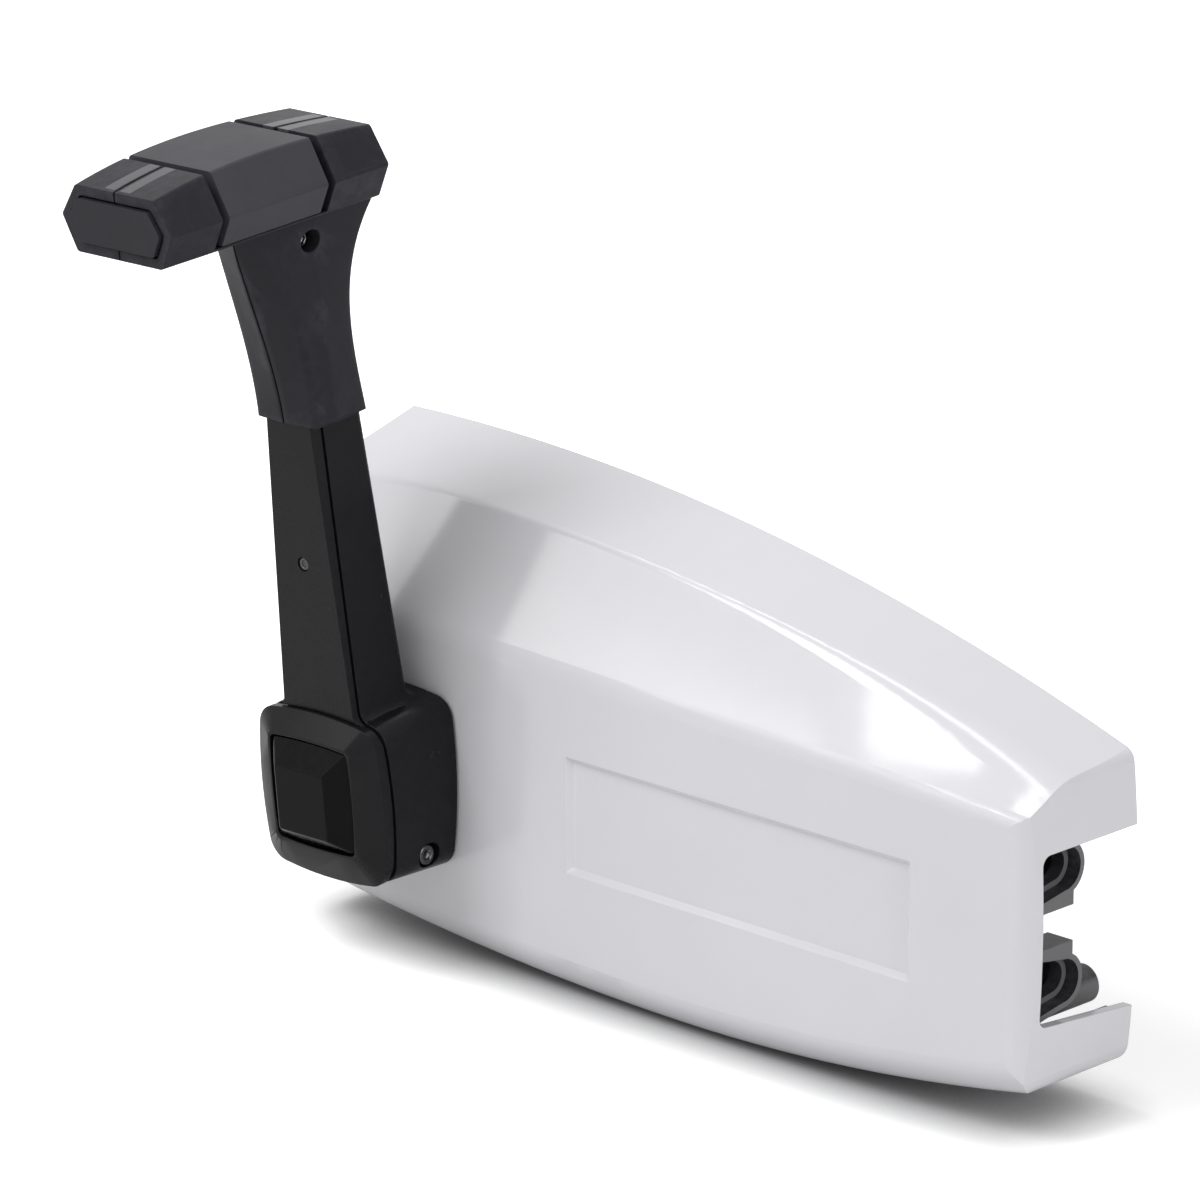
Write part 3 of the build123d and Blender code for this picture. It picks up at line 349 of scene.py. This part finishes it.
def metal(name, colour, roughness, line_size=0.15, line_depth=0.004, stain_tone=0.7, spread=0.08):
    """Machined, drawn or plated metal with tool lines and stains."""
    material, tree, shader = new_material(name)
    place = tree.nodes.new("ShaderNodeTexCoord").outputs["Object"]
    marks = place_group(tree, "tool_marks", build_tool_marks, Vector=place, Line_Size=line_size)
    rubbed = place_group(tree, "edge_wear", build_edge_wear, Vector=place)
    base = mix_colours(tree, marks.outputs["Stain"], tone(colour, 1.0), tone(colour, stain_tone))
    base = mix_colours(tree, sums(tree, "MULTIPLY", rubbed.outputs["Mask"], 0.5), base, tone(colour, 1.3))
    gloss = sums(tree, "MULTIPLY_ADD", marks.outputs["Stain"], spread)
    gloss.node.inputs[2].default_value = roughness
    bump = put(tree, "ShaderNodeBump", Height=marks.outputs["Height"],
               Distance=line_depth * MM, Strength=1.0)
    feed(tree, shader, "Base Color", base)
    feed(tree, shader, "Roughness", gloss)
    feed(tree, shader, "Normal", bump.outputs["Normal"])
    shader.inputs["Metallic"].default_value = 1.0
    return material


def dress(names, material):
    """Give the finish to pieces or CAD nodes by name."""
    for name in names:
        item = frame["nodes"].get(name) or bpy.data.objects[name]
        item.data.materials.clear()
        item.data.materials.append(material)


# --------------------------------------------------------------- piece helpers
def refined(node, round_width, sharp_angle=28.0, segments=2, flat_angle=1.2):
    """Piece that stands for a CAD node: its own form, welded, with every sharp edge rounded."""
    form = bmesh.new()
    form.from_mesh(frame["nodes"][node].data)
    bmesh.ops.remove_doubles(form, verts=form.verts, dist=WELD)
    bmesh.ops.dissolve_degenerate(form, dist=WELD, edges=form.edges)
    bmesh.ops.dissolve_limit(form, angle_limit=radians(flat_angle), verts=form.verts, edges=form.edges)
    if round_width > 0:
        sharp = [e for e in form.edges if e.is_manifold and e.calc_face_angle(0.0) > radians(sharp_angle)]
        bmesh.ops.bevel(form, geom=sharp, offset=round_width * MM, offset_type="OFFSET", segments=segments,
                        profile=0.5, affect="EDGES", clamp_overlap=True, material=-1)
    return finished(form, node + "_finish", frame["nodes"][node].get("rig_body"), [node])


def ring_stack(form, place, rings):
    """Skin rings of equal count, each given as its reaches and its depth, closed at both ends."""
    loops = []
    for reaches, depth in rings:
        turns = [2 * pi * step / len(reaches) for step in range(len(reaches))]
        loops.append([form.verts.new(place @ Vector((reach * cos(turn), reach * sin(turn), -depth)))
                      for reach, turn in zip(reaches, turns)])
    for low, high in zip(loops, loops[1:]):
        for i in range(len(low)):
            j = (i + 1) % len(low)
            form.faces.new((low[i], low[j], high[j], high[i]))
    form.faces.new(list(reversed(loops[0])))
    form.faces.new(loops[-1])


def socket_screw(node, outward, head_radius, shank_radius, head_length, steps=48):
    """Socket screw in the place of a CAD screw: rolled rim, six-sided socket and shank."""
    spots = [v.co for v in frame["nodes"][node].data.vertices]
    front = max(spot.dot(outward) for spot in spots)
    back = min(spot.dot(outward) for spot in spots)
    face = [spot for spot in spots if front - spot.dot(outward) < HEAD_FACE]
    centre = sum(face, Vector()) / len(face)
    place = Matrix.Translation(centre) @ outward.to_track_quat("Z", "Y").to_matrix().to_4x4()
    r = head_radius * MM
    sixth = pi / 3
    hexagon = [SOCKET_REACH * r / cos((2 * pi * i / steps) % sixth - sixth / 2) for i in range(steps)]

    def circle(share):
        return [share * r] * steps

    shank = [shank_radius * MM] * steps
    deep = head_length * MM
    form = bmesh.new()
    socket = [(hexagon, SOCKET_DEPTH * deep), (hexagon, SOCKET_EDGE * r)]
    rim = [(circle(reach), depth * r) for reach, depth in HEAD_RIM]
    ring_stack(form, place, socket + rim + [(circle(1.0), deep), (shank, deep), (shank, front - back)])
    return finished(form, node + "_finish", frame["nodes"][node].get("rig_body"), [node], recalculate=True)


def pressed_spring(node):
    """The CAD spring as a smooth-shaded piece with a mesh of its own."""
    spring = refined(node, 0.0)
    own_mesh(spring)
    return spring


def finished(form, name, body, nodes, recalculate=False):
    """Turn the form into a smooth-shaded piece that rides on a body and stands for nodes."""
    if recalculate:
        bmesh.ops.recalc_face_normals(form, faces=form.faces)
    for face in form.faces:
        face.smooth = True
    mesh = bpy.data.meshes.new(name)
    form.to_mesh(mesh)
    form.free()
    piece = bpy.data.objects.new(name, mesh)
    bpy.context.scene.collection.objects.link(piece)
    weights = piece.modifiers.new("even_normals", "WEIGHTED_NORMAL")
    weights.keep_sharp = True
    weights.weight = 80
    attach(piece, body)
    if nodes:
        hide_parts(*nodes)
    return piece


# ------------------------------------------------------------------ properties
class HousingFinish(bpy.types.PropertyGroup):
    """Colours and edges of the housing."""
    cover_colour: bpy.props.FloatVectorProperty(
        name="Cover", description="Colour of the moulded cover", subtype="COLOR", size=3,
        min=0.0, max=1.0, default=(0.72, 0.715, 0.745))
    cover_roughness: bpy.props.FloatProperty(
        name="Cover roughness", description="Roughness of the gloss cover", default=0.15, min=0.0, max=1.0)
    casting_colour: bpy.props.FloatVectorProperty(
        name="Casting", description="Colour of the coated casting", subtype="COLOR", size=3,
        min=0.0, max=1.0, default=(0.022, 0.022, 0.025))
    # Painted light: a lighter colour painted on the casting's faces that look along +X.
    painted_lit_side_colour: bpy.props.FloatVectorProperty(
        name="Painted lit side", description="Colour painted as light on the casting's faces that look along +X", subtype="COLOR", size=3,
        min=0.0, max=1.0, default=(0.15, 0.15, 0.155))
    guide_colour: bpy.props.FloatVectorProperty(
        name="Guides", description="Colour of the cable keepers", subtype="COLOR", size=3,
        min=0.0, max=1.0, default=(0.32, 0.32, 0.33))
    edge_round: bpy.props.FloatProperty(
        name="Edge rounding", description="Rounding of the cover's edges in its finish, in millimetres",
        default=0.35, min=0.0, max=2.0)


class LeverFinish(bpy.types.PropertyGroup):
    """Colours and edges of the lever."""
    hub_colour: bpy.props.FloatVectorProperty(
        name="Hub and stem", description="Colour of the hub and the stem", subtype="COLOR", size=3,
        min=0.0, max=1.0, default=(0.0076, 0.0074, 0.0087))
    grip_colour: bpy.props.FloatVectorProperty(
        name="Handle", description="Colour of the neck and the grip's end blocks", subtype="COLOR", size=3,
        min=0.0, max=1.0, default=(0.023, 0.022, 0.0268))
    pad_colour: bpy.props.FloatVectorProperty(
        name="Palm pad", description="Colour of the soft palm pad", subtype="COLOR", size=3,
        min=0.0, max=1.0, default=(0.054, 0.0525, 0.060))
    button_colour: bpy.props.FloatVectorProperty(
        name="Button", description="Colour of the gloss button", subtype="COLOR", size=3,
        min=0.0, max=1.0, default=(0.0028, 0.0028, 0.003))
    inlay_colour: bpy.props.FloatVectorProperty(
        name="Strips", description="Colour of the satin strips on the grip", subtype="COLOR", size=3,
        min=0.0, max=1.0, default=(0.085, 0.084, 0.092))
    edge_round: bpy.props.FloatProperty(
        name="Edge rounding", description="Rounding of the lever's moulded edges, in millimetres",
        default=0.45, min=0.0, max=2.0)


class StageLayout(bpy.types.PropertyGroup):
    """Camera, floor and lamps."""
    camera_place: bpy.props.FloatVectorProperty(
        name="Camera", description="Place of the camera", subtype="TRANSLATION", unit="LENGTH", size=3,
        default=(1.5512, -1.5619, 0.7203))
    camera_side: bpy.props.FloatProperty(
        name="Camera side angle", description="Angle of the camera round the control", subtype="ANGLE",
        unit="ROTATION", default=radians(44.0))
    camera_height: bpy.props.FloatProperty(
        name="Camera height angle", description="Angle of the camera above the horizon", subtype="ANGLE",
        unit="ROTATION", default=radians(17.0))
    lens: bpy.props.FloatProperty(
        name="Lens", description="Focal length of the camera in millimetres", default=210.0, min=10.0)
    floor_height: bpy.props.FloatProperty(
        name="Floor height", description="Height of the floor", subtype="DISTANCE", unit="LENGTH",
        default=cad_low.z)
    centre: bpy.props.FloatVectorProperty(
        name="Centre", description="Point near the middle of the control, which the lamps face",
        subtype="TRANSLATION", unit="LENGTH", size=3, default=(0.11, -0.04, 0.05))
    near_glow: bpy.props.FloatProperty(
        name="Near glow", description="Own light of the floor beside the control, as the camera sees it",
        default=0.48, min=0.0, max=1.0)
    far_glow: bpy.props.FloatProperty(
        name="Far glow", description="Own light of the floor away from the control, as the camera sees it",
        default=0.9, min=0.0, max=1.0)
    mirror_glow: bpy.props.FloatProperty(
        name="Mirror glow", description="Own light of the floor as metal and glass show it",
        default=0.2, min=0.0, max=1.0)
    room_light: bpy.props.FloatProperty(
        name="Room light", description="Light that comes from all round", default=0.42, min=0.0, max=1.0)
    contact_reach: bpy.props.FloatProperty(
        name="Contact reach", description="How far from the control its contact shade reaches",
        subtype="DISTANCE", unit="LENGTH", default=0.022, min=0.0)
    contact_depth: bpy.props.FloatProperty(
        name="Contact depth", description="Depth of the contact shade", default=1.3, min=0.0)
    key_power: bpy.props.FloatProperty(
        name="Key lamp", description="Power of the large lamp above", subtype="POWER", unit="POWER",
        default=23.0, min=0.0)


# ------------------------------------------------------------------- operators
class THROTTLE_OT_stage(bpy.types.Operator):
    """Set the floor, the soft lamps and the camera"""
    bl_idname = "throttle.stage"
    bl_label = "Stage"

    def execute(self, context):
        layout = context.scene.throttle_stage
        self.make_camera(context, layout)
        self.make_floor(context, layout)
        self.make_world(context, layout)
        self.make_lamps(context, layout)
        context.scene.view_settings.view_transform = "Standard"
        return {"FINISHED"}

    def make_camera(self, context, layout):
        """Camera that looks along the two angles, without roll."""
        side, height = layout.camera_side, layout.camera_height
        right = Vector((cos(side), sin(side), 0))
        back = Vector((sin(side) * cos(height), -cos(side) * cos(height), sin(height)))
        camera = bpy.data.objects.new("camera", bpy.data.cameras.new("camera"))
        camera.data.lens = layout.lens
        camera.data.sensor_width = 36.0
        camera.data.clip_start, camera.data.clip_end = 0.05, 60.0
        turn = Matrix((right, back.cross(right), back)).transposed().to_4x4()
        camera.matrix_world = Matrix.Translation(layout.camera_place) @ turn
        context.scene.collection.objects.link(camera)
        context.scene.camera = camera

    def make_floor(self, context, layout):
        """Pale floor, wide enough to fill the frame."""
        form = bmesh.new()
        bmesh.ops.create_grid(form, x_segments=8, y_segments=8, size=9.0)
        bmesh.ops.translate(form, verts=form.verts, vec=(layout.centre[0], 0.0, layout.floor_height))
        mesh = bpy.data.meshes.new("floor")
        form.to_mesh(mesh)
        form.free()
        mesh.materials.append(self.floor_material(layout))
        floor = bpy.data.objects.new("floor", mesh)
        context.scene.collection.objects.link(floor)

    def floor_material(self, layout):
        """Matt pale floor: painted contact shadow and a weaker glow where the control comes near, white away
        from it.
        """
        material, tree, shader = new_material("pale_floor")
        place = tree.nodes.new("ShaderNodeTexCoord").outputs["Object"]
        speck = put(tree, "ShaderNodeTexNoise", Vector=place, Scale=30.0, Detail=4.0)
        base = mix_colours(tree, remap(tree, speck.outputs["Fac"], 0.3, 0.7), FLOOR_DARK, FLOOR_PALE)
        # Painted contact shadow: ambient occlusion darkens the floor's colour and its glow near the control.
        near = put(tree, "ShaderNodeAmbientOcclusion", {"samples": 8}, Distance=layout.contact_reach)
        contact = sums(tree, "POWER", near.outputs["AO"], layout.contact_depth)
        feed(tree, shader, "Base Color", mix_colours(tree, contact, CONTACT_SHADOW_COLOUR, base))
        shader.inputs["Roughness"].default_value = 0.9
        shader.inputs["Specular IOR Level"].default_value = 0.1
        seen, mirrored = ray_masks(tree)
        away = put(tree, "ShaderNodeVectorMath", {"operation": "DISTANCE"}, Vector=place)
        away.inputs[1].default_value = (GLOW_MIDDLE, 0.0, layout.floor_height)
        level = remap(tree, away.outputs["Value"], GLOW_START, GLOW_END, layout.near_glow, layout.far_glow)
        level = sums(tree, "MULTIPLY", sums(tree, "MULTIPLY", level, contact), seen)
        level = sums(tree, "ADD", level, sums(tree, "MULTIPLY", mirrored, layout.mirror_glow))
        glow = put(tree, "ShaderNodeEmission", Color=WHITE, Strength=level)
        both = tree.nodes.new("ShaderNodeAddShader")
        tree.links.new(shader.outputs[0], both.inputs[0])
        tree.links.new(glow.outputs[0], both.inputs[1])
        tree.links.new(both.outputs[0], tree.nodes["Material Output"].inputs["Surface"])
        return material

    def make_world(self, context, layout):
        """Even light from all round, white to the camera and in reflections."""
        world = bpy.data.worlds.new("studio")
        context.scene.world = world
        world.use_nodes = True
        tree = world.node_tree
        background = tree.nodes["Background"]
        seen, mirrored = ray_masks(tree)
        background.inputs["Color"].default_value = WHITE
        shown = sums(tree, "MAXIMUM", seen, mirrored)
        feed(tree, background, "Strength", remap(tree, shown, 0.0, 1.0, layout.room_light, 1.0))

    def make_lamps(self, context, layout):
        """Rectangular soft lamps, each with its place, its size and its share of the key's power."""
        lamps = (("key", (-0.5, -1.2, 1.75), (1.0, 1.0), 1.0),
                 ("top_strip", (-0.3, 0.1, 1.3), (0.16, 0.8), 0.1),
                 ("left_strip", (-1.54, -1.81, 1.02), (0.25, 0.9), 0.12),
                 ("right_fill", (2.6, -0.4, 0.9), (0.6, 1.2), 0.78))
        for name, place, size, share in lamps:
            lamp = bpy.data.objects.new(name, bpy.data.lights.new(name, "AREA"))
            lamp.data.shape = "RECTANGLE"
            lamp.data.size, lamp.data.size_y = size
            lamp.data.energy = layout.key_power * share
            lamp.location = place
            lamp.rotation_mode = "QUATERNION"
            lamp.rotation_quaternion = (Vector(layout.centre) - Vector(place)).to_track_quat("-Z", "Y")
            context.scene.collection.objects.link(lamp)


class THROTTLE_OT_housing(bpy.types.Operator):
    """Finish the moulded cover"""
    bl_idname = "throttle.housing"
    bl_label = "Cover"

    def execute(self, context):
        finish = context.scene.throttle_housing
        dress(["housing_cover"], moulded(
            "cover_white", finish.cover_colour, finish.cover_roughness, grain_size=0.9, grain_depth=0.004,
            gloss_spread=0.02, drift=0.01, dust=0.01, specular=0.5, soft_edge=finish.edge_round))
        return {"FINISHED"}


class THROTTLE_OT_casting(bpy.types.Operator):
    """Finish the casting, its cable seats and keepers"""
    bl_idname = "throttle.casting"
    bl_label = "Casting and cable seats"

    def execute(self, context):
        finish = context.scene.throttle_housing
        # The casting's faces that look along +X get painted light.
        dress(["chassis"], moulded(
            "coated_casting", finish.casting_colour, 0.42, grain_size=0.7, grain_depth=0.05, wear=0.5,
            wear_tone=5.0, drift=0.2, machined=finish.painted_lit_side_colour))
        dress(["cable_clamps"], moulded(
            "keeper_grey", finish.guide_colour, 0.5, grain_size=0.5, grain_depth=0.02))
        return {"FINISHED"}


class THROTTLE_OT_hub(bpy.types.Operator):
    """Finish the hub, the stem and the button"""
    bl_idname = "throttle.hub"
    bl_label = "Hub, stem and button"

    def execute(self, context):
        finish = context.scene.throttle_lever
        black = moulded(
            "lever_black", finish.hub_colour, 0.26, grain_size=0.35, grain_depth=0.006, gloss_spread=0.02,
            drift=0.03, wear=0.15, wear_tone=2.5, dust=0.004, specular=0.16)
        pieces = [refined(name, finish.edge_round).name for name in ("hub_body", "stem_cover", "hub_bezel")]
        pieces += [refined("lever_plate", finish.edge_round / 2).name]
        dress(pieces, black)
        button = refined("throttle_button", finish.edge_round * 1.6, segments=3)
        dress([button.name], moulded(
            "button_black", finish.button_colour, 0.14, grain_size=0.3, grain_depth=0.002, specular=0.1))
        return {"FINISHED"}


class THROTTLE_OT_handle(bpy.types.Operator):
    """Finish the handle halves, the palm pad, the strips and the rocker"""
    bl_idname = "throttle.handle"
    bl_label = "Handle"

    def execute(self, context):
        finish = context.scene.throttle_lever
        halves = [refined(name, finish.edge_round).name for name in ("handle_left", "handle_right")]
        dress(halves, moulded(
            "handle_black", finish.grip_colour, 0.4, grain_size=0.4, grain_depth=0.012, wear=0.4,
            wear_tone=3.0, specular=0.1, soft_edge=0.5, soft_neck=3.2, seam=True))
        pad = refined("grip_saddle", finish.edge_round * 1.8)
        dress([pad.name], moulded(
            "pad_black", finish.pad_colour, 0.5, grain_size=0.6, grain_depth=0.02, drift=0.1, specular=0.16))
        dress(["grip_inlays"], moulded(
            "strip_satin", finish.inlay_colour, 0.3, grain_size=0.3, grain_depth=0.006))
        rocker = refined("trim_rocker", finish.edge_round * 2.0, segments=3)
        dress([rocker.name], moulded(
            "rocker_black", finish.grip_colour, 0.36, grain_size=0.35, grain_depth=0.008, specular=0.16))
        dress(["trim_switch", "neutral_switch"], moulded(
            "switch_black", finish.hub_colour, 0.5, grain_size=0.4, grain_depth=0.01))
        return {"FINISHED"}


class THROTTLE_OT_metalwork(bpy.types.Operator):
    """Finish the screws, shafts, gears and springs"""
    bl_idname = "throttle.metalwork"
    bl_label = "Metalwork"

    def execute(self, context):
        plated = metal("plated_steel", (0.62, 0.62, 0.64), 0.22, stain_tone=0.85)
        dress(["main_shaft", "shaft_nut", "cover_screws", "throttle_cable_pin", "shift_cable_pin",
               "shift_pivot_pin", "switch_screws", "clamp_pins", "rocker_pin", "detent_plunger"], plated)
        screws = [socket_screw(*sizes).name for sizes in SCREWS]
        dress(screws, metal("screw_steel", (0.10, 0.10, 0.105), 0.14, stain_tone=0.6))
        dress(["drive_gear", "shift_sector", "throttle_arm"],
              metal("gear_steel", (0.42, 0.42, 0.43), 0.35, line_depth=0.01))
        dress(["shaft_bushings"], metal("sintered_bronze", (0.55, 0.36, 0.16), 0.45, line_depth=0.02))
        spring = pressed_spring("button_spring")
        dress([spring.name, "detent_spring", "pivot_clip", "friction_washer"],
              metal("spring_steel", (0.35, 0.35, 0.37), 0.3))
        return {"FINISHED"}


class THROTTLE_PT_panel(bpy.types.Panel):
    """Lists the steps and the finishes"""
    bl_label = "Throttle control"
    bl_idname = "THROTTLE_PT_panel"
    bl_space_type = "VIEW_3D"
    bl_region_type = "UI"
    bl_category = "Throttle"

    def draw(self, context):
        for step in STEPS:
            self.layout.operator(step.bl_idname)
        scene = context.scene
        for group in (scene.throttle_stage, scene.throttle_housing, scene.throttle_lever):
            box = self.layout.box()
            for name in group.bl_rna.properties.keys():
                if name not in ("rna_type", "name"):
                    box.prop(group, name)


STEPS = (THROTTLE_OT_stage, THROTTLE_OT_housing, THROTTLE_OT_casting, THROTTLE_OT_hub, THROTTLE_OT_handle,
         THROTTLE_OT_metalwork)
GROUPS = (HousingFinish, LeverFinish, StageLayout)


def register():
    for item in GROUPS + STEPS + (THROTTLE_PT_panel,):
        bpy.utils.register_class(item)
    bpy.types.Scene.throttle_housing = bpy.props.PointerProperty(type=HousingFinish)
    bpy.types.Scene.throttle_lever = bpy.props.PointerProperty(type=LeverFinish)
    bpy.types.Scene.throttle_stage = bpy.props.PointerProperty(type=StageLayout)


def unregister():
    del bpy.types.Scene.throttle_stage
    del bpy.types.Scene.throttle_lever
    del bpy.types.Scene.throttle_housing
    for item in reversed(GROUPS + STEPS + (THROTTLE_PT_panel,)):
        bpy.utils.unregister_class(item)


def main():
    """Register the add-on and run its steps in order."""
    register()
    bpy.ops.throttle.stage()
    bpy.ops.throttle.housing()
    bpy.ops.throttle.casting()
    bpy.ops.throttle.hub()
    bpy.ops.throttle.handle()
    bpy.ops.throttle.metalwork()


if __name__ == "__main__":
    main()
